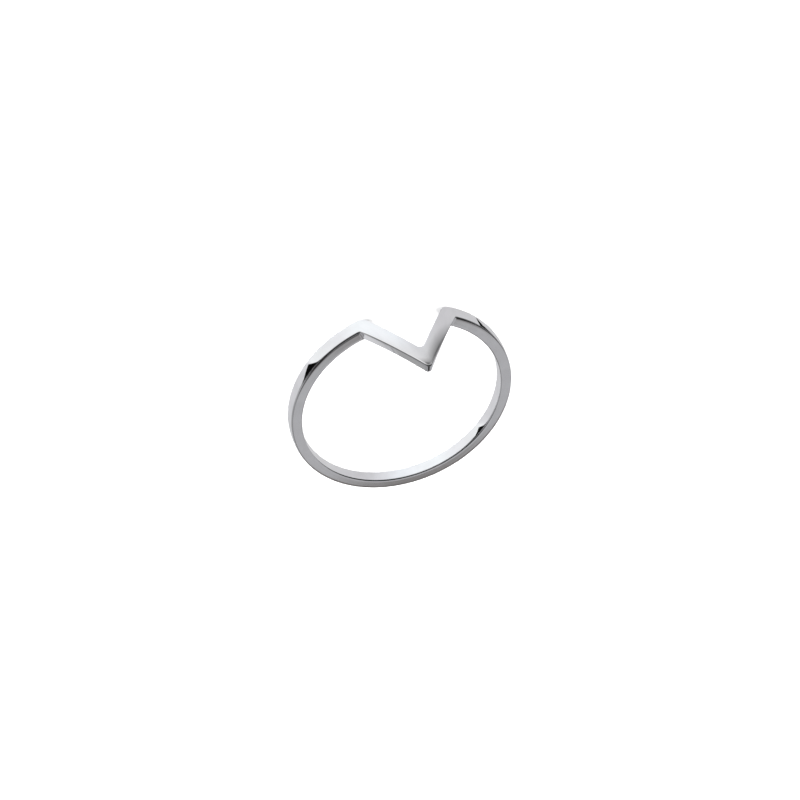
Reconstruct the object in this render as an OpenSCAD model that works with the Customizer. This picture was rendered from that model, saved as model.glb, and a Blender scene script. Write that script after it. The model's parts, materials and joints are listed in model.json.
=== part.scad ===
// A slim polished ring. Its flat band runs round the finger and, on the side that shows,
// bends into a pointed V, so that the band and the V frame an open triangle.
// The ring lies on its flat rim: Z is the finger's axis, and the V stands up at -Y.

/* [Band] */
// Diameter of the finger hole
finger_d = 17; // [15:0.5:21]
// Thickness of the wall at the shoulders of the V
wall_front = 1.05; // [0.95:0.05:1.2]
// Thickness of the wall at the back of the finger
wall_back = 0.9; // [0.8:0.05:0.95]
// Width of the band at the V, measured square to its edges
band_w = 1.35; // [1.2:0.05:1.5]
// Width of the band at the back of the finger
band_back_w = 1.1; // [0.9:0.05:1.2]

/* [V] */
// Angle round the finger from the point of the V to each shoulder
v_half_angle = 23; // [20:1:26]
// How far the point of the V rises above the rest of the band
v_rise = 5.7; // [4.5:0.1:6.5]
// Thickness of the wall at the point of the V, whose outside is flatter than the band's
wall_point = 0.8; // [0.7:0.05:0.9]

/* [Corners] */
// Radius of each shoulder on the side of the flat rim
shoulder_rim_r = 1; // [0.4:0.05:1.2]
// Radius of each shoulder on the side of the point
shoulder_point_r = 0.3; // [0.2:0.05:0.5]
// Radius inside the V
v_inside_r = 0.4; // [0.2:0.05:0.5]
// Radius of the point of the V
point_r = 0.35; // [0.2:0.05:0.5]

/* [Hidden] */

// The outside of the band is a plain cylinder, set a little towards the V
finger_r = finger_d / 2;
outer_r = finger_r + (wall_front + wall_back) / 2;
outer_shift = (wall_front - wall_back) / 2;

// The V is laid out flat along the band's outside and wrapped round the finger
layout_r = finger_r + wall_front;
v_half_arc = layout_r * v_half_angle * PI / 180;
arm_slope = atan2(v_rise, v_half_arc);
// Width of an arm measured along Z, and how far its mitres move a shoulder's corners
arm_tall = band_w / cos(arm_slope);
mitre = band_w / 2 * tan(arm_slope / 2);
// Height of the point of the V
point_z = band_w / 2 + v_rise + arm_tall / 2;

// The outside of the V is a wider cylinder, through its point and both shoulders
shoulder_x = layout_r * sin(v_half_angle);
face_sag = finger_r + wall_point - layout_r * cos(v_half_angle);
face_r = (shoulder_x ^ 2 + face_sag ^ 2) / (2 * face_sag);

// Sections of the wrapped outline: close together over the V, and few over the plain band
bent_half_angle = v_half_angle + 6;
bent_count = 58;
bent_step = bent_half_angle / bent_count;
plain_count = 14;
plain_step = (360 - 2 * bent_half_angle) / plain_count;
// The outline is cut out of a tube, so it stands clear of the tube's walls and ends
clear = 2;
cut_outer_r = outer_r + clear;
smooth = 180;
// Behind the V the wall stands this far off the finger, so that the V doesn't press on it and
// the round wall of the finger hole is the band's own
v_relief = 0.02;

// Height of one edge of the band at arc length s from the point: level, a round shoulder,
// a straight arm and a round top
function edge_height(s, level_z, corner_s, top_z, shoulder_r, top_r) =
    let (
        a = abs(s),
        level_from = corner_s + shoulder_r * tan(arm_slope / 2),
        arm_from = level_from - shoulder_r * sin(arm_slope),
        arm_to = top_r * sin(arm_slope)
    )
    a >= level_from ? level_z
    : a >= arm_from ? level_z + shoulder_r - sqrt(shoulder_r ^ 2 - (level_from - a) ^ 2)
    : a >= arm_to ? top_z - a * tan(arm_slope)
    : top_z - top_r / cos(arm_slope) + sqrt(top_r ^ 2 - a ^ 2);

function rim_z(s) = edge_height(s, 0, v_half_arc - mitre, point_z - arm_tall,
    shoulder_rim_r, v_inside_r);

function point_side_z(s) = edge_height(s, band_w, v_half_arc + mitre, point_z,
    shoulder_point_r, point_r);

// The upper side leans a little, so that the band is slimmer at the back of the finger
function lean(y) = -(band_w - band_back_w) * (y + finger_r) / (2 * finger_r);

function on_circle(r, angle, z) = [r * sin(angle), -r * cos(angle), z];

// Angles of the sections, from one side of the V to the other and on round the finger
function section_angles() = concat(
    [for (i = [-bent_count : bent_count]) i * bent_step],
    [for (i = [1 : plain_count - 1]) bent_half_angle + i * plain_step]
);

// Where the outline's inner side runs: just outside the finger hole behind the V, crossing its
// wall at the V's last sections, and well inside it along the plain band
function inner_r(angle) =
    abs(angle) < bent_half_angle - bent_step / 2 ? finger_r + v_relief
    : abs(angle) < bent_half_angle + bent_step / 2 ? finger_r - v_relief
    : finger_r - clear;

// One section: rim side inner and outer corner, then point side outer and inner corner
function section(angle) =
    let (
        s = layout_r * (angle > 180 ? angle - 360 : angle) * PI / 180,
        r = inner_r(angle)
    )
    [
        on_circle(r, angle, rim_z(s)),
        on_circle(cut_outer_r, angle, rim_z(s)),
        on_circle(cut_outer_r, angle, point_side_z(s) + lean(-cut_outer_r * cos(angle))),
        on_circle(r, angle, point_side_z(s) + lean(-r * cos(angle)))
    ];

// A closed wall that follows the band up and down the V. Its sides point at the finger's axis
module wrapped_outline() {
    angles = section_angles();
    n = len(angles);
    corners = [for (a = angles) each section(a)];
    faces = [
        for (i = [0 : n - 1], k = [0 : 3])
            let (
                here = 4 * i,
                next = 4 * ((i + 1) % n),
                k2 = (k + 1) % 4
            )
            each [
                [here + k, next + k2, next + k],
                [here + k, here + k2, next + k2]
            ]
    ];
    polyhedron(points = corners, faces = faces, convexity = 6);
}

// A round tube, flatter over the V, from below the flat rim to above the point of the V
module tube() {
    tube_h = point_z + 2 * clear;
    translate([0, 0, -clear])
    difference() {
        intersection() {
            translate([0, -outer_shift, 0]) cylinder(r = outer_r, h = tube_h, $fn = smooth);
            translate([0, face_r - finger_r - wall_point, 0]) cylinder(r = face_r, h = tube_h, $fn = smooth);
        }
        translate([0, 0, -clear]) cylinder(r = finger_r, h = tube_h + 2 * clear, $fn = smooth);
    }
}

// The whole ring: one bent band of polished silver
module band() {
    color("silver")
    intersection() {
        tube();
        wrapped_outline();
    }
}

band();
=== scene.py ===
# %% [markdown]
# A slim silver ring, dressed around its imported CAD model. The real ring is one flat band that
# runs round the finger and bends into a pointed V, with an open triangle between its arms. It
# lies on its flat rim, on a pale table, under soft studio light. The CAD model gives the place
# and the sizes, and this script gives the polished surface.

# %% Load the ring's CAD model
import json
import math

import bmesh
import bpy
from mathutils import Matrix, Vector


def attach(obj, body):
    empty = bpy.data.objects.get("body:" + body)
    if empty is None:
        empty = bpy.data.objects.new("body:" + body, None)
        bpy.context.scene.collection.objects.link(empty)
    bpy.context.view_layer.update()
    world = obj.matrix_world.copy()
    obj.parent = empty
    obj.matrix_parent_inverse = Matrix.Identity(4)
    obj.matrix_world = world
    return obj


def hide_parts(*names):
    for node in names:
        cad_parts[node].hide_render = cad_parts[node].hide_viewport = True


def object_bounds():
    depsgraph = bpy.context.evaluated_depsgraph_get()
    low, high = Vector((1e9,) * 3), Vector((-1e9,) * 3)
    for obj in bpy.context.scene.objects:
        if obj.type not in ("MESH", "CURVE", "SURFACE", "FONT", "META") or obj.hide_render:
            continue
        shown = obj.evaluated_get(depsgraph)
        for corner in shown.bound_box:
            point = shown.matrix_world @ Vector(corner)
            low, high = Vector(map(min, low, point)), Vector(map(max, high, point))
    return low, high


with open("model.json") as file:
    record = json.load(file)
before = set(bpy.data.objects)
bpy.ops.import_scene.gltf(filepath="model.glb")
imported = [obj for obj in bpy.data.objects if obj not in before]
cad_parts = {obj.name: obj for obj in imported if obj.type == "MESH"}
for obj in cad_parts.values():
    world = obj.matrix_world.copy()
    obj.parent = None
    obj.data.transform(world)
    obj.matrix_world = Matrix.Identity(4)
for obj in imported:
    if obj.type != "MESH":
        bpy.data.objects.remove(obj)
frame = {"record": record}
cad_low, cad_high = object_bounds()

print("CAD box in mm:", [round(1000 * x, 3) for x in [*cad_low, *cad_high]])

# %% [markdown]
# The ring is modelled at 1000 times life size, so that one Blender unit is a millimetre. Blender's
# mesh tools ignore lengths that are far under a millimetre, and a ring's rounded edges are only
# a tenth of one. The finished ring is scaled down to metres at the end.
#
# The first values come from the CAD model: the finger hole from its mount, and the walls from
# its box. The V's own sizes are those of the part's source.

# %% Sizes in millimetres
MM = 0.001
# Lengths under a hair count as nothing
hair = 0.001

bore = next(m for m in frame["record"]["mounts"] if m["name"] == "finger_bore")
finger_r = bore["dims"]["r_mm"]
band_w = bore["dims"]["length_mm"]
outer_r = (cad_high.x - cad_low.x) / 2 / MM
outer_shift = outer_r - cad_high.y / MM
wall_point = -cad_low.y / MM - finger_r
wall_front = outer_r + outer_shift - finger_r

band_back_w = 1.1
v_half_angle = math.radians(23)
v_rise = 5.7
shoulder_rim_r = 1.0
shoulder_point_r = 0.3
v_inside_r = 0.4
point_r = 0.35

layout_r = finger_r + wall_front
v_half_arc = layout_r * v_half_angle
arm_slope = math.atan2(v_rise, v_half_arc)
arm_tall = band_w / math.cos(arm_slope)
mitre = band_w / 2 * math.tan(arm_slope / 2)
point_z = band_w / 2 + v_rise + arm_tall / 2
print("finger hole", 2 * finger_r, "wall", round(wall_front, 3), "point", round(point_z, 3))

# %% [markdown]
# Seen flat, as the strip lies before it is bent round the finger, each edge of the band is level,
# turns a round shoulder, climbs a straight arm and goes over a round top. One function gives
# the height of such an edge at a distance s from the V's point. The edge on the side of the point
# also leans down a little towards the back, where the real band is slimmer.

# %% The band's outline, laid out flat
def edge_height(s, level_z, corner_s, top_z, shoulder_r, top_r):
    """The height of one edge of the band at a distance s from the V's point."""
    level_from = corner_s + shoulder_r * math.tan(arm_slope / 2)
    arm_from = level_from - shoulder_r * math.sin(arm_slope)
    arm_to = top_r * math.sin(arm_slope)
    if s >= level_from:
        return level_z
    if s >= arm_from:
        return level_z + shoulder_r - math.sqrt(shoulder_r ** 2 - (level_from - s) ** 2)
    if s >= arm_to:
        return top_z - s * math.tan(arm_slope)
    return top_z - top_r / math.cos(arm_slope) + math.sqrt(top_r ** 2 - s ** 2)


def rim_z(s):
    """The height of the edge that lies on the table."""
    return edge_height(s, 0, v_half_arc - mitre, point_z - arm_tall, shoulder_rim_r, v_inside_r)


def point_side_z(s):
    """The height of the edge on the side of the V's point."""
    wall_y = -(finger_r + wall_front / 2) * math.cos(s / layout_r)
    lean = -(band_w - band_back_w) * (wall_y + finger_r) / (2 * finger_r)
    return edge_height(s, band_w, v_half_arc + mitre, point_z, shoulder_point_r, point_r) + lean


print("band's width beside the V and at the back:",
      [round(point_side_z(s) - rim_z(s), 3) for s in (2 * v_half_arc, math.pi * layout_r)])

# %% [markdown]
# The wall is thickest at the V's shoulders. Its outside is a plain circle, set a little towards
# the V. Over the V a wider circle, through the point and both shoulders, cuts it flatter. The two
# run into each other softly, as polishing leaves them, and the band stays a hair inside the CAD
# model.

# %% The wall's thickness
soft_mm = 0.03
shoulder_x = layout_r * math.sin(v_half_angle)
sag = finger_r + wall_point - layout_r * math.cos(v_half_angle)
face_r = (shoulder_x ** 2 + sag ** 2) / (2 * sag)
face_shift = -(face_r - finger_r - wall_point)


def out_to_circle(circle_r, shift, angle):
    """The way from the finger's axis out to a circle whose centre is shifted towards the V."""
    return shift * math.cos(angle) + math.sqrt(circle_r ** 2 - (shift * math.sin(angle)) ** 2)


def wall_at(s):
    """The wall's thickness at a distance s from the V's point."""
    angle = s / layout_r
    plain = out_to_circle(outer_r, outer_shift, angle)
    flat = out_to_circle(face_r, face_shift, angle)
    return (plain + flat - math.sqrt((plain - flat) ** 2 + soft_mm ** 2)) / 2 - finger_r - hair


print("wall at the point, a shoulder and the back:",
      [round(wall_at(s), 3) for s in (0, v_half_arc, math.pi * layout_r)])

# %% [markdown]
# Blender's operators work on whatever is selected, so each step first picks what it works on, as
# a hand would with a click. These helpers pick in code: one object, the points whose place passes
# a test, or the edges whose direction does. The last one adds a modifier and applies it at once,
# so that the next step finds real mesh.


# %% Small helpers for modelling
def only(obj):
    """Make obj the one selected and active object."""
    bpy.ops.object.select_all(action="DESELECT")
    obj.select_set(True)
    bpy.context.view_layer.objects.active = obj


def select_verts(obj, test):
    """In edit mode, select the vertices whose place passes the test, and nothing else."""
    bpy.ops.mesh.select_all(action="DESELECT")
    bm = bmesh.from_edit_mesh(obj.data)
    for v in bm.verts:
        v.select = test(v.co)
    bm.select_flush_mode()
    bmesh.update_edit_mesh(obj.data)


def select_edges(obj, test):
    """In edit mode, select the edges whose direction passes the test, and nothing else."""
    bpy.ops.mesh.select_all(action="DESELECT")
    bm = bmesh.from_edit_mesh(obj.data)
    for e in bm.edges:
        start, end = (v.co for v in e.verts)
        e.select = test((end - start).normalized())
    bmesh.update_edit_mesh(obj.data)


def apply_modifier(obj, kind, **settings):
    """Add a modifier, set it and apply it."""
    modifier = obj.modifiers.new(kind.title(), kind)
    for name, value in settings.items():
        setattr(modifier, name, value)
    only(obj)
    bpy.ops.object.modifier_apply(modifier=modifier.name)


# %% [markdown]
# The band's cross-section is a flat strip's: an upright rectangle, whose four corners the
# polishing wheel has rounded, and whose outer side it has left slightly domed. It starts as a
# plane that stands across the strip, with its outer side at y = 0 and its inner side towards
# the finger. Vertex bevel rounds the corners. Each row of the outer side is then pushed in a
# little, by the square of its distance from the middle, which makes the dome.

# %% The cross-section
edge_r = 0.13
edge_steps = 6
dome = 0.05
# An edge runs along an axis if this share of its direction does
straight = 0.999

bpy.ops.object.select_all(action="DESELECT")
middle = (0, wall_front / 2, band_w / 2)
bpy.ops.mesh.primitive_plane_add(size=1, rotation=(0, math.pi / 2, 0), location=middle)
band = bpy.context.object
band.name = "silver_band"
bpy.ops.object.transform_apply(location=True, rotation=True, scale=True)
bpy.ops.object.mode_set(mode="EDIT")
bpy.ops.mesh.select_all(action="SELECT")
bpy.ops.transform.resize(value=(1, wall_front, band_w), center_override=middle)
bpy.ops.mesh.bevel(offset_type="OFFSET", offset=edge_r, segments=edge_steps, affect="VERTICES", profile=0.5)
bpy.ops.mesh.delete(type="ONLY_FACE")

for along_z, cuts in ((True, 9), (False, 5)):
    select_edges(band, lambda way: abs(way.z if along_z else way.y) > straight)
    bpy.ops.mesh.subdivide(number_cuts=cuts)

bm = bmesh.from_edit_mesh(band.data)
outer_rows = sorted({round(v.co.z, 5) for v in bm.verts if v.co.y < edge_r + hair})
for z in outer_rows:
    push = dome * ((z - band_w / 2) / (band_w / 2)) ** 2
    select_verts(band, lambda co: abs(co.z - z) < hair / 2 and co.y < wall_front / 2)
    bpy.ops.transform.translate(value=(0, push, 0))
bm = bmesh.from_edit_mesh(band.data)
print("cross-section of", len(bm.verts), "points, rows on the outer side:", len(outer_rows))

# %% [markdown]
# A loft by hand: the cross-section is extruded a short step along the strip, and scaled and
# raised to the size that the outline has there, again and again, from the V's point to the back
# of the finger. Where an arm climbs, the upright section is taller, by just as much as makes
# the band's width square to its edges the same everywhere. The steps are short where an edge
# turns and longer along straight stretches.

# %% Extrude half the strip
# The point, an arm, a shoulder and the plain band: where each ends, and the length of its steps
stretches = ((0.36, 0.03), (3.1, 0.12), (4.6, 0.04), (math.pi * layout_r, 0.22))
steps = [0.0]
for until, step in stretches:
    start = steps[-1]
    count = max(1, round((until - start) / step))
    steps += [start + (until - start) * i / count for i in range(1, count + 1)]


def section_at(s):
    """How high the section starts, how tall it is and how thick, at a distance s from the point."""
    low = rim_z(s)
    return low, point_side_z(s) - low, wall_at(s)


low, tall, wall = section_at(0)
bpy.ops.mesh.select_all(action="SELECT")
bpy.ops.transform.resize(
    value=(1, wall / wall_front, tall / band_w), center_override=(0, wall_front, 0))
bpy.ops.transform.translate(value=(0, 0, low))
for before, s in zip(steps, steps[1:]):
    new_low, new_tall, new_wall = section_at(s)
    bpy.ops.mesh.extrude_edges_move(
        TRANSFORM_OT_translate={"value": (s - before, 0, new_low - low)})
    bpy.ops.transform.resize(
        value=(1, new_wall / wall, new_tall / tall), center_override=(s, wall_front, new_low))
    low, tall, wall = new_low, new_tall, new_wall
bpy.ops.object.mode_set(mode="OBJECT")
print("sections:", len(steps), "vertices:", len(band.data.vertices))

# %% [markdown]
# The polishing lines run along the band, so the material has to know where along the strip
# each point lies. That place is stored on every vertex now, while the strip is still straight. It
# is the distance from the V's point, so it is the same on both halves.

# %% Remember each point's place on the straight strip
strip_place = band.data.attributes.new("strip_place", "FLOAT_VECTOR", "POINT")
for vertex, stored in zip(band.data.vertices, strip_place.data):
    x, y, z = vertex.co
    share = (z - rim_z(x)) / (point_side_z(x) - rim_z(x))
    stored.vector = (x, y, share * band_w)
print("places stored:", len(strip_place.data))

# %% [markdown]
# Mirror adds the other half. Simple Deform then bends the strip through a full turn, as the
# goldsmith bends it round a steel mandrel. A strip as long as a circle of radius layout_r closes
# to exactly that circle. Its two ends meet at the back, where they are merged into one skin.

# %% Mirror it and bend it round the finger
apply_modifier(band, "MIRROR", use_axis=(True, False, False), use_mirror_merge=True, merge_threshold=hair)
apply_modifier(band, "SIMPLE_DEFORM", deform_method="BEND", deform_axis="Z", angle=2 * math.pi)
only(band)
bpy.ops.object.mode_set(mode="EDIT")
bpy.ops.mesh.select_all(action="SELECT")
bpy.ops.transform.translate(value=(0, -layout_r, 0))
bpy.ops.mesh.remove_doubles(threshold=hair)
bpy.ops.mesh.normals_make_consistent(inside=False)
bpy.ops.transform.resize(value=(MM, MM, MM), center_override=(0, 0, 0))
bpy.ops.object.mode_set(mode="OBJECT")
bpy.ops.object.shade_smooth()

bm = bmesh.new()
bm.from_mesh(band.data)
open_edges = sum(1 for e in bm.edges if not e.is_manifold)
print("faces:", len(bm.faces), "open edges:", open_edges,
      "volume in mm3:", round(bm.calc_volume() / MM ** 3, 2))
bm.free()
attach(band, "root")
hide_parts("band")

# %% [markdown]
# Three small helpers serve every material. srgb turns a colour as a screen shows it into the
# linear shares that Blender mixes. new_material starts a material. add_node puts one node into
# it, with its settings and links, so that a material reads as a list of steps. Sockets that
# share a name are given by number, such as _6 and _7 for the two colours of a mix.

# %% Material helpers
def srgb(code):
    """The linear colour of an sRGB hex code."""
    shares = [int(code[i:i + 2], 16) / 255 for i in (0, 2, 4)]
    return [c / 12.92 if c <= 0.04045 else ((c + 0.055) / 1.055) ** 2.4 for c in shares] + [1.0]


def new_material(name):
    """A material with the usual shader, and the parts of it that a finish works on."""
    material = bpy.data.materials.new(name)
    material.use_nodes = True
    return material, material.node_tree, material.node_tree.nodes["Principled BSDF"]


def add_node(tree, kind, settings=None, stops=None, **links):
    """Add a node, set its properties, a ramp's stops and its sockets, and link outputs to it."""
    node = tree.nodes.new(kind)
    for name, value in (settings or {}).items():
        setattr(node, name, value)
    if stops:
        ramp = node.color_ramp.elements
        ramp.remove(ramp[0])
        ramp[0].position = stops[0][0]
        ramp[0].color = srgb(stops[0][1])
        for share, code in stops[1:]:
            ramp.new(share).color = srgb(code)
    for name, value in links.items():
        socket = node.inputs[int(name[1:])] if name[1:].isdigit() else node.inputs[name.replace("_", " ")]
        if isinstance(value, bpy.types.NodeSocket):
            tree.links.new(value, socket)
        else:
            socket.default_value = value
    return node


print("a pale grey and its linear share:", round(srgb("A7A7A9")[0], 3))

# %% [markdown]
# The ring is sterling silver, polished on a felt wheel and with a soft cloth. The metal itself is
# nearly white and mirrors its surroundings. The wheel runs along the band, so it leaves very fine
# lines that way. A real line is about a hundredth of a millimetre wide, which is too fine to show,
# so the noise is drawn coarser: a seventh of a millimetre across the band, and long drawn
# out along it. The lines lift the roughness a little and rise less than a thousandth of a
# millimetre, which gives the eye a mirror with a faint, silky grain instead of perfect glass. A
# second noise, about a millimetre wide, varies the metal's brightness a little, as handling does.

# %% Polished silver
line_wide_mm = 0.14
line_long_mm = 2.0
line_high_mm = 0.0006
cloud_mm = 1.1
smoothest = 0.04
roughest = 0.10

silver, tree, shader = new_material("polished_silver")
shader.inputs["Metallic"].default_value = 1.0
strip = add_node(tree, "ShaderNodeAttribute", {"attribute_name": "strip_place"})
streaks = add_node(tree, "ShaderNodeMapping", Vector=strip.outputs["Vector"],
                   Scale=(1 / line_long_mm, 1 / line_wide_mm, 1 / line_wide_mm))
lines = add_node(tree, "ShaderNodeTexNoise", Vector=streaks.outputs[0],
                 Scale=1.0, Detail=4.0, Roughness=0.6)
gloss = add_node(tree, "ShaderNodeMapRange", Value=lines.outputs["Fac"],
                 From_Min=0.3, From_Max=0.7, To_Min=smoothest, To_Max=roughest)
tree.links.new(gloss.outputs[0], shader.inputs["Roughness"])
clouds = add_node(tree, "ShaderNodeTexNoise", Vector=strip.outputs["Vector"],
                  Scale=1 / cloud_mm, Detail=2.0)
breath = add_node(tree, "ShaderNodeValToRGB", stops=[(0.35, "F1F1F3"), (0.65, "F6F6F8")],
                  Fac=clouds.outputs["Fac"])
tree.links.new(breath.outputs[0], shader.inputs["Base Color"])
relief = add_node(tree, "ShaderNodeBump", Strength=1.0, Distance=line_high_mm * MM,
                  Height=lines.outputs["Fac"])
tree.links.new(relief.outputs[0], shader.inputs["Normal"])
band.data.materials.append(silver)
print("polished_silver has", len(tree.nodes), "nodes")

# %% [markdown]
# The ring lies on a matt white card. The card is far wider than the picture, so no edge of it
# shows, and its faint mottling is that of uncoated paper. Matt white gives the eye a bright, plain
# ground and catches the soft shadow where the band touches it.

# %% The table
table_r = 1.1
mottle_mm = 0.4

bpy.ops.object.select_all(action="DESELECT")
bpy.ops.mesh.primitive_circle_add(vertices=96, radius=table_r, fill_type="NGON", location=(0, 0, 0))
table = bpy.context.object
table.name = "table"
white_card, tree, shader = new_material("white_card")
shader.inputs["Roughness"].default_value = 0.9
where = add_node(tree, "ShaderNodeTexCoord")
mottle = add_node(tree, "ShaderNodeTexNoise", Vector=where.outputs["Object"],
                  Scale=1 / (mottle_mm * MM), Detail=3.0)
paper_white = add_node(tree, "ShaderNodeValToRGB", stops=[(0.3, "F1F1F1"), (0.7, "F4F4F4")],
                       Fac=mottle.outputs["Fac"])
tree.links.new(paper_white.outputs[0], shader.inputs["Base Color"])
table.data.materials.append(white_card)
print("table radius in m:", table_r)

# %% [markdown]
# The camera looks down at the ring from a third of a metre away, from the photograph's angle to
# it. Its direction, roll and scale were found by fitting a camera and a band together to points
# on the edges in the photograph. The lens follows from the scale: a millimetre at the ring is about
# twelve pixels of the picture. The ring's centre lands where the photograph has it.

# %% Camera at the photograph's angle
camera_azimuth = math.radians(20.42)
camera_elevation = math.radians(45.30)
camera_roll = math.radians(155.97)
camera_distance = 333.3
pixels_per_mm = 12.145
ring_centre_px = (397.94, 393.82)
picture_px = 800
sensor_mm = 36.0

back = Vector((
    math.sin(camera_azimuth) * math.cos(camera_elevation),
    -math.cos(camera_azimuth) * math.cos(camera_elevation),
    math.sin(camera_elevation),
))
level = Vector((math.cos(camera_azimuth), math.sin(camera_azimuth), 0))
upward = back.cross(level)
picture_x = level * math.cos(camera_roll) + upward * math.sin(camera_roll)
picture_y = upward * math.cos(camera_roll) - level * math.sin(camera_roll)
across = (ring_centre_px[0] - picture_px / 2) / pixels_per_mm
down = (ring_centre_px[1] - picture_px / 2) / pixels_per_mm
camera_place = (back * camera_distance - picture_x * across + picture_y * down) * MM

camera_data = bpy.data.cameras.new("camera")
camera_data.sensor_width = sensor_mm
camera_data.lens = sensor_mm * pixels_per_mm * camera_distance / picture_px
camera_data.clip_start = 0.01
camera_data.clip_end = 10
camera = bpy.data.objects.new("camera", camera_data)
bpy.context.scene.collection.objects.link(camera)
turn = Matrix((picture_x, picture_y, back)).transposed()
camera.matrix_world = Matrix.Translation(camera_place) @ turn.to_4x4()
bpy.context.scene.camera = camera
print("lens in mm:", round(camera_data.lens, 1))

# %% [markdown]
# Two large soft boxes light the card, one overhead and a weaker one at the front. They are kept
# out of the silver's reflections, because what the silver mirrors is laid out in the steps that
# follow. The Standard view transform keeps whites white, as in a shop picture.

# %% Soft light
room_grey = 0.05
world = bpy.data.worlds.new("studio")
bpy.context.scene.world = world
world.use_nodes = True
room = world.node_tree.nodes["Background"]
room.inputs["Color"].default_value = (room_grey, room_grey, room_grey, 1)
bpy.context.scene.view_settings.view_transform = "Standard"


def soft_box(name, place, size, power):
    """A square lamp that points at the ring and that neither the camera nor the silver sees."""
    data = bpy.data.lights.new(name, "AREA")
    data.shape = "SQUARE"
    data.size = size
    data.energy = power
    light = bpy.data.objects.new(name, data)
    bpy.context.scene.collection.objects.link(light)
    light.location = place
    light.rotation_euler = (-Vector(place)).to_track_quat("-Z", "Y").to_euler()
    light.visible_camera = False
    light.visible_glossy = False


soft_box("overhead", place=(0.0, 0.0, 0.9), size=0.9, power=18)
soft_box("key", place=(0.35, -0.6, 0.6), size=0.5, power=9)
print("lights:", [light.name for light in bpy.data.lights])

# %% [markdown]
# Polished silver shows hardly any tone of its own, so jewellery is photographed in a light tent:
# white paper under and round the piece, grey cards where a side should look grey, and small
# black cards that draw the edges. Every part of the tent here is a surface that only glows, and it
# shows in reflections only. Silver gives back about nine tenths of what it mirrors, so the tent
# glows that much brighter, and a tone on a card is the tone on the ring.

# %% Helpers for the light tent
silver_gives = 0.92


def glow(name):
    """A material that only glows, and the socket for its colour."""
    material, tree, shader = new_material(name)
    tree.nodes.remove(shader)
    emission = add_node(tree, "ShaderNodeEmission", Strength=1 / silver_gives)
    tree.links.new(emission.outputs[0], tree.nodes["Material Output"].inputs["Surface"])
    return material, tree, emission.inputs["Color"]


def only_for(obj, camera=False, reflection=False):
    """Let an object be seen by the camera alone or in reflections alone. It throws no shadow."""
    obj.visible_camera = camera
    obj.visible_glossy = reflection
    obj.visible_diffuse = False
    obj.visible_shadow = False
    obj.visible_transmission = False


def by_direction(tones):
    """Ramp stops from tones by the direction in degrees, from the V's side towards +X."""
    return [(0.5 + degrees / 360, code) for degrees, code in tones]


def turned_mm(tree, centre=(0, 0)):
    """Places in mm from a centre, turned so that a radial gradient starts and ends behind the ring."""
    where = add_node(tree, "ShaderNodeTexCoord")
    moved = add_node(tree, "ShaderNodeMapping", Vector=where.outputs["Object"],
                     Scale=(1 / MM, 1 / MM, 1 / MM), Location=(-centre[0], -centre[1], 0))
    return add_node(tree, "ShaderNodeMapping", Vector=moved.outputs[0], Rotation=(0, 0, math.pi / 2))


print("glow strength:", round(1 / silver_gives, 3))

# %% [markdown]
# The ring's upright walls mirror the paper that it lies on, each wall the part in front of it. This
# paper only glows, and its tone is a painted reflection that goes by direction: brightest in front of
# one arm of the V, with a sharp step beside it, and pale grey elsewhere. It is painted darker a little
# with the distance, as painted shade. In two directions it turns nearly black, and there the black
# wedges that the silver mirrors run on into the dark line along its edge.

# %% The paper's painted reflection tones
fall_from_mm = 10.4
fall_to_mm = 17.0

paper_glow, tree, colour = glow("paper_glow")
place_mm = turned_mm(tree)
around = add_node(tree, "ShaderNodeTexGradient", {"gradient_type": "RADIAL"}, Vector=place_mm.outputs[0])
# Painted reflection: the tones the ring's walls show, listed by direction, near the ring and far from it
near = add_node(tree, "ShaderNodeValToRGB", stops=by_direction([
    (-180, "D4D4D5"), (-120, "CDCDCF"), (-70, "C0C0C1"), (-58, "C8C8C9"), (-40, "CBCBCC"),
    (-20, "C8C7C9"), (-12, "CECED0"), (-4, "DEDFE2"), (4, "ECF0F3"), (12, "F4F7F9"), (26, "F6FAFB"),
    (35, "EDEEF0"), (44, "E9EAEB"), (50, "EEF0F0"), (56, "F0F2F2"), (58, "DADADC"), (64, "D2D2D4"),
    (80, "CDCDCF"), (100, "C6C6C8"), (130, "D4D4D5"), (180, "D4D4D5"),
]), Fac=around.outputs["Fac"])
far = add_node(tree, "ShaderNodeValToRGB", stops=by_direction([
    (-180, "AFAFAF"), (-70, "AAAAAA"), (-62, "323232"), (-48, "323232"), (-40, "A8A8A8"),
    (-30, "ACACAC"), (-14, "C8C8C8"), (-8, "D0D0D0"), (0, "DEDEDE"), (6, "E4E4E4"), (30, "E0E0E0"),
    (48, "C4C4C4"), (56, "323232"), (72, "323232"), (80, "AFAFAF"), (120, "A0A0A0"),
    (160, "A0A0A0"), (180, "AFAFAF"),
]), Fac=around.outputs["Fac"])
distance = add_node(tree, "ShaderNodeVectorMath", {"operation": "LENGTH"}, Vector=place_mm.outputs[0])
# Painted shade: the tone turns from the near tones to the darker far tones with the distance
outward = add_node(tree, "ShaderNodeMapRange", {"interpolation_type": "SMOOTHSTEP"},
                   Value=distance.outputs["Value"], From_Min=fall_from_mm, From_Max=fall_to_mm)
paper_tone = add_node(tree, "ShaderNodeMix", {"data_type": "RGBA"}, Factor=outward.outputs[0],
                      _6=near.outputs[0], _7=far.outputs[0])
print("tones by direction near and far:",
      len(near.color_ramp.elements), "and", len(far.color_ramp.elements))
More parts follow.
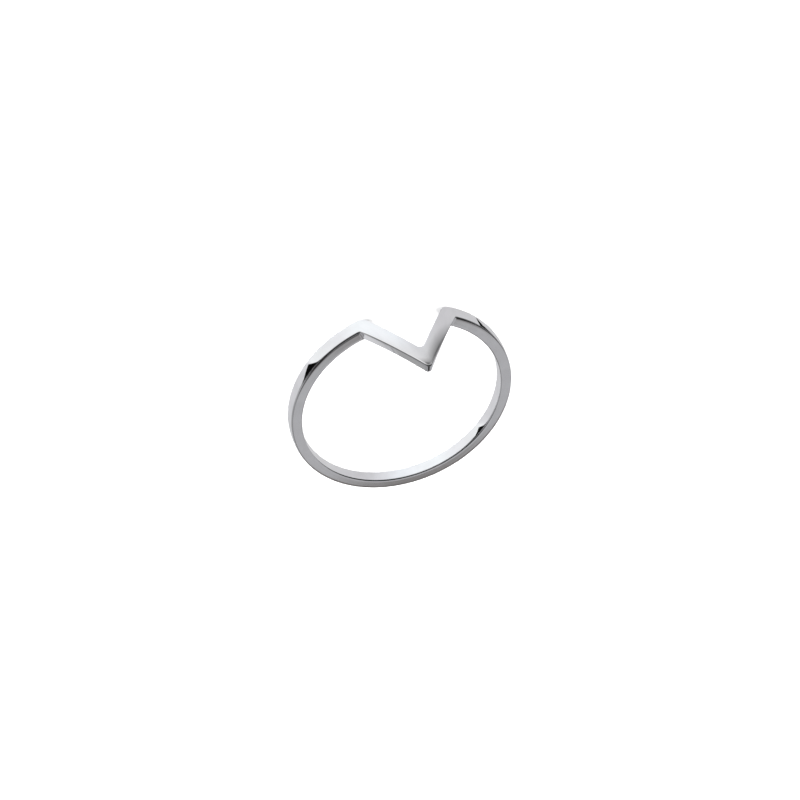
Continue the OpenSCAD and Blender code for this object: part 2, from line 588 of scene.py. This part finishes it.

# %% [markdown]
# Four soft round painted shades are laid over the paper, each dark in its middle and gone at its rim.
# The first three darken the other arm and the outside of the V near its point. The last lies inside
# the ring, for the dark line along the inner edge at the back. The inner sheet is turned half
# round, and so is the place of that shade.

# %% Soft painted shades on the paper
# The middle of each shade and how far it reaches, in mm
shades = (
    ((-7, -15), 5.0),
    ((-2.4, -18.6), 3.2),
    ((-3.6, -25), 7.5),
    ((1, -3), 4.5),
)
tone = paper_tone.outputs[2]
for centre, reach in shades:
    shade_place = turned_mm(tree, centre)
    shade_far = add_node(tree, "ShaderNodeVectorMath", {"operation": "LENGTH"},
                         Vector=shade_place.outputs[0])
    shade = add_node(tree, "ShaderNodeMapRange", Value=shade_far.outputs["Value"],
                     From_Min=0.0, From_Max=reach)
    shaded = add_node(tree, "ShaderNodeVectorMath", {"operation": "SCALE"}, Vector=tone,
                      Scale=shade.outputs[0])
    tone = shaded.outputs[0]
tree.links.new(tone, colour)
print("paper_glow has", len(tree.nodes), "nodes")

# %% [markdown]
# Two sheets of this paper lie just above the table. The outer one is a wide ring that starts
# under the band. The inner one is a disc, turned half round, because a wall inside the ring faces
# the opposite way to the wall outside it, and both should show the same tone.

# %% The paper outside and inside the ring
tent_r = 60
lift = 0.05
inside_r = 8.97

bpy.ops.object.select_all(action="DESELECT")
bpy.ops.mesh.primitive_circle_add(vertices=96, radius=inside_r * MM, fill_type="NOTHING",
                                  location=(0, 0, lift * MM))
outer_paper = bpy.context.object
outer_paper.name = "paper_outside"
bpy.ops.object.mode_set(mode="EDIT")
bpy.ops.mesh.extrude_edges_move()
bpy.ops.transform.resize(value=(tent_r / inside_r, tent_r / inside_r, 1), center_override=(0, 0, 0))
bpy.ops.object.mode_set(mode="OBJECT")
outer_paper.data.materials.append(paper_glow)
only_for(outer_paper, reflection=True)

bpy.ops.object.select_all(action="DESELECT")
bpy.ops.mesh.primitive_circle_add(vertices=96, radius=inside_r * MM, fill_type="NGON",
                                  location=(0, 0, lift * MM), rotation=(0, 0, math.pi))
inner_paper = bpy.context.object
inner_paper.name = "paper_inside"
inner_paper.data.materials.append(paper_glow)
only_for(inner_paper, reflection=True)
print("paper from", inside_r, "to", tent_r, "mm")

# %% [markdown]
# The tent is a half sphere round the ring. Behind the ring it is grey. In front and at the top it
# is dark, with a grey belt a little above the table. The rounded long edges sweep over the whole
# tent from the floor to the top, so the dark parts give them the crisp dark line that sets a
# polished edge off from its sides. The belt keeps the flat side of the band from looking black
# to someone who stands behind the ring.

# %% The tent's tones
dark = "202020"
belt_grey = "686868"
top_from = 0.76
top_to = 0.84

tent_glow, tree, colour = glow("tent_glow")
place_mm = turned_mm(tree)
around = add_node(tree, "ShaderNodeTexGradient", {"gradient_type": "RADIAL"}, Vector=place_mm.outputs[0])
height = add_node(tree, "ShaderNodeSeparateXYZ", Vector=place_mm.outputs[0])
share_up = add_node(tree, "ShaderNodeMapRange", Value=height.outputs["Z"], From_Min=0, From_Max=tent_r)
back_tone = add_node(tree, "ShaderNodeValToRGB", stops=by_direction([
    (-180, "6B6866"), (-150, "6B6866"), (-140, "A4A4A6"), (100, "A2A2A4"), (120, "949496"),
    (150, "949496"), (168, "6B6866"), (180, "6B6866"),
]), Fac=around.outputs["Fac"])
front_tone = add_node(tree, "ShaderNodeValToRGB", stops=[
    (0.0, dark), (0.13, dark), (0.17, belt_grey), (0.42, belt_grey), (0.47, dark), (1.0, dark),
], Fac=share_up.outputs[0])
is_back = add_node(tree, "ShaderNodeValToRGB", stops=by_direction([
    (-180, "FFFFFF"), (-111, "FFFFFF"), (-104, "000000"), (92, "000000"), (99, "FFFFFF"),
    (180, "FFFFFF"),
]), Fac=around.outputs["Fac"])
wall_tone = add_node(tree, "ShaderNodeMix", {"data_type": "RGBA"}, Factor=is_back.outputs[0],
                     _6=front_tone.outputs[0], _7=back_tone.outputs[0])
is_high = add_node(tree, "ShaderNodeMapRange", {"interpolation_type": "SMOOTHSTEP"},
                   Value=share_up.outputs[0], From_Min=top_from, From_Max=top_to)
tent_tone = add_node(tree, "ShaderNodeMix", {"data_type": "RGBA"}, Factor=is_high.outputs[0],
                     _6=wall_tone.outputs[2], _7=srgb(dark))
print("the dark top starts", round(top_from * tent_r, 1), "mm above the table")

# %% [markdown]
# A round grey patch lies in the tent's dark top, a little behind the ring's middle. Someone who
# leans over the ring sees it in the flat side of the band, which would look black without it.

# %% The grey patch in the tent's top
patch_centre = (0, 9.5)
patch_r = 11.5
patch_gone_r = 15
patch_grey = "8C8C8E"

patch_place = turned_mm(tree, patch_centre)
patch_flat = add_node(tree, "ShaderNodeVectorMath", {"operation": "MULTIPLY"}, _0=patch_place.outputs[0],
                      _1=(1, 1, 0))
patch_far = add_node(tree, "ShaderNodeVectorMath", {"operation": "LENGTH"}, Vector=patch_flat.outputs[0])
off_patch = add_node(tree, "ShaderNodeMapRange", {"interpolation_type": "SMOOTHSTEP"},
                     Value=patch_far.outputs["Value"], From_Min=patch_r, From_Max=patch_gone_r)
tent_all = add_node(tree, "ShaderNodeMix", {"data_type": "RGBA"}, Factor=off_patch.outputs[0],
                    _6=srgb(patch_grey), _7=tent_tone.outputs[2])
tree.links.new(tent_all.outputs[2], colour)
print("tent_glow has", len(tree.nodes), "nodes")

# %% [markdown]
# A real tent is sewn from cloth. Here a sphere that is cut in half at the table does the same, and
# it has no seam for the silver to mirror.

# %% The tent
bpy.ops.object.select_all(action="DESELECT")
bpy.ops.mesh.primitive_uv_sphere_add(segments=64, ring_count=32, radius=tent_r * MM, location=(0, 0, 0))
tent = bpy.context.object
tent.name = "tent"
bpy.ops.object.mode_set(mode="EDIT")
bpy.ops.mesh.select_all(action="SELECT")
bpy.ops.mesh.bisect(plane_co=(0, 0, 0), plane_no=(0, 0, 1), clear_inner=True)
bpy.ops.object.mode_set(mode="OBJECT")
bpy.ops.object.shade_smooth()
tent.data.materials.append(tent_glow)
only_for(tent, reflection=True)
print("tent faces:", len(tent.data.polygons))

# %% [markdown]
# The flat side of the band faces up, so to the camera it mirrors one place high behind the
# ring. A grey card hangs there, square to that line and turned to lie level in the mirror. It is
# mid grey over most of its height and darker towards its two ends, and that gives the flat side
# its calm grey with a slow change from the front of the ring to the back.

# %% The grey card's tones
card_wide = 34
card_tall = 24
card_up = 2

card_glow, tree, colour = glow("card_glow")
where = add_node(tree, "ShaderNodeTexCoord")
card_place = add_node(tree, "ShaderNodeSeparateXYZ", Vector=where.outputs["Object"])
card_share = add_node(tree, "ShaderNodeMapRange", Value=card_place.outputs["Y"],
                      From_Min=(card_up - card_tall / 2) * MM, From_Max=(card_up + card_tall / 2) * MM)
card_tone = add_node(tree, "ShaderNodeValToRGB", stops=[
    (0.0, "6A6764"), (0.155, "74716F"), (0.19, "8A8887"), (0.25, "A7A7A9"), (0.30, "AAAAAC"),
    (0.62, "AAAAAC"), (0.69, "A3A3A4"), (0.75, "8E8C8C"), (0.83, "787676"), (1.0, "2A2A2A"),
], Fac=card_share.outputs[0])
tree.links.new(card_tone.outputs[0], colour)
print("card_glow has", len(card_tone.color_ramp.elements), "tones")

# %% [markdown]
# The card is a plane, sized in its own frame and moved up a little in it. It is then hung at the
# place that the flat side mirrors, and faces the ring.

# %% Hang the grey card behind the ring
card_distance = 50
card_roll = math.radians(-6.7)
toward = Vector((-0.240, 0.669, 0.703)).normalized()
card_turn = Matrix.Rotation(card_roll, 3, toward) @ (-toward).to_track_quat("Z", "Y").to_matrix()
bpy.ops.object.select_all(action="DESELECT")
bpy.ops.mesh.primitive_plane_add(size=1)
grey_card = bpy.context.object
grey_card.name = "grey_card"
bpy.ops.transform.resize(value=(card_wide * MM, card_tall * MM, 1), center_override=(0, 0, 0))
bpy.ops.transform.translate(value=(0, card_up * MM, 0))
bpy.ops.object.transform_apply(location=True, rotation=True, scale=True)
grey_card.location = toward * card_distance * MM
grey_card.rotation_euler = card_turn.to_euler()
grey_card.data.materials.append(card_glow)
only_for(grey_card, reflection=True)
print("grey card in mm:", card_wide, "by", card_tall, "at", card_distance)

# %% [markdown]
# Small black cards lie on the paper next to the band, three outside it and one inside. The walls
# mirror them as the short black wedges that run out of the dark edge line, and they are what
# makes the silver look wet and hard. A card is black near the band and fades to the paper's
# grey farther away, so that from other sides it reads as a softer dark reflection.

# %% The black cards
black_to_mm = 3.2
faded_at_mm = 4.8

black_glow, tree, colour = glow("black_glow")
place_mm = turned_mm(tree)
distance = add_node(tree, "ShaderNodeVectorMath", {"operation": "LENGTH"}, Vector=place_mm.outputs[0])
beyond = add_node(tree, "ShaderNodeMath", {"operation": "SUBTRACT"},
                  _0=distance.outputs["Value"], _1=inside_r)
from_band = add_node(tree, "ShaderNodeMath", {"operation": "ABSOLUTE"}, _0=beyond.outputs[0])
fade = add_node(tree, "ShaderNodeMapRange", Value=from_band.outputs[0],
                From_Min=black_to_mm, From_Max=faded_at_mm)
black_tone = add_node(tree, "ShaderNodeValToRGB", stops=[(0.0, "0A0A0A"), (1.0, "B8B8B8")],
                      Fac=fade.outputs[0])
tree.links.new(black_tone.outputs[0], colour)


def black_card(name, corners):
    """A three-cornered card on the paper, from the places of its corners in mm."""
    bpy.ops.object.select_all(action="DESELECT")
    bpy.ops.mesh.primitive_circle_add(vertices=3, radius=1, fill_type="NGON", location=(0, 0, 0))
    card = bpy.context.object
    card.name = name
    for vertex, (x, y) in zip(card.data.vertices, corners):
        vertex.co = (x * MM, y * MM, 2 * lift * MM)
    card.data.materials.append(black_glow)
    only_for(card, reflection=True)


black_card("black_card_left", ((8.25, -5.15), (13.5, -0.9), (10.9, -10.1)))
black_card("black_card_right", ((-7.2, -6.85), (-10.2, -4.1), (-11.4, -8.3)))
black_card("black_card_thin", ((-6.3, -7.15), (-7.6, -6.55), (-7.7, -7.0)))
black_card("black_card_inside", ((-6.6, 4.7), (-6.05, 1.0), (-2.6, 6.85)))

# %% [markdown]
# Behind everything stands a white backdrop that only the camera sees. It meets the table's far
# edge, so the picture's ground is one even white.

# %% The backdrop
bpy.ops.object.select_all(action="DESELECT")
bpy.ops.mesh.primitive_uv_sphere_add(segments=48, ring_count=24, radius=table_r, location=(0, 0, 0))
backdrop = bpy.context.object
backdrop.name = "backdrop"
white_glow, tree, colour = glow("white_glow")
colour.default_value = srgb("FFFFFF")
backdrop.data.materials.append(white_glow)
only_for(backdrop, camera=True)
print("backdrop radius in m:", table_r)
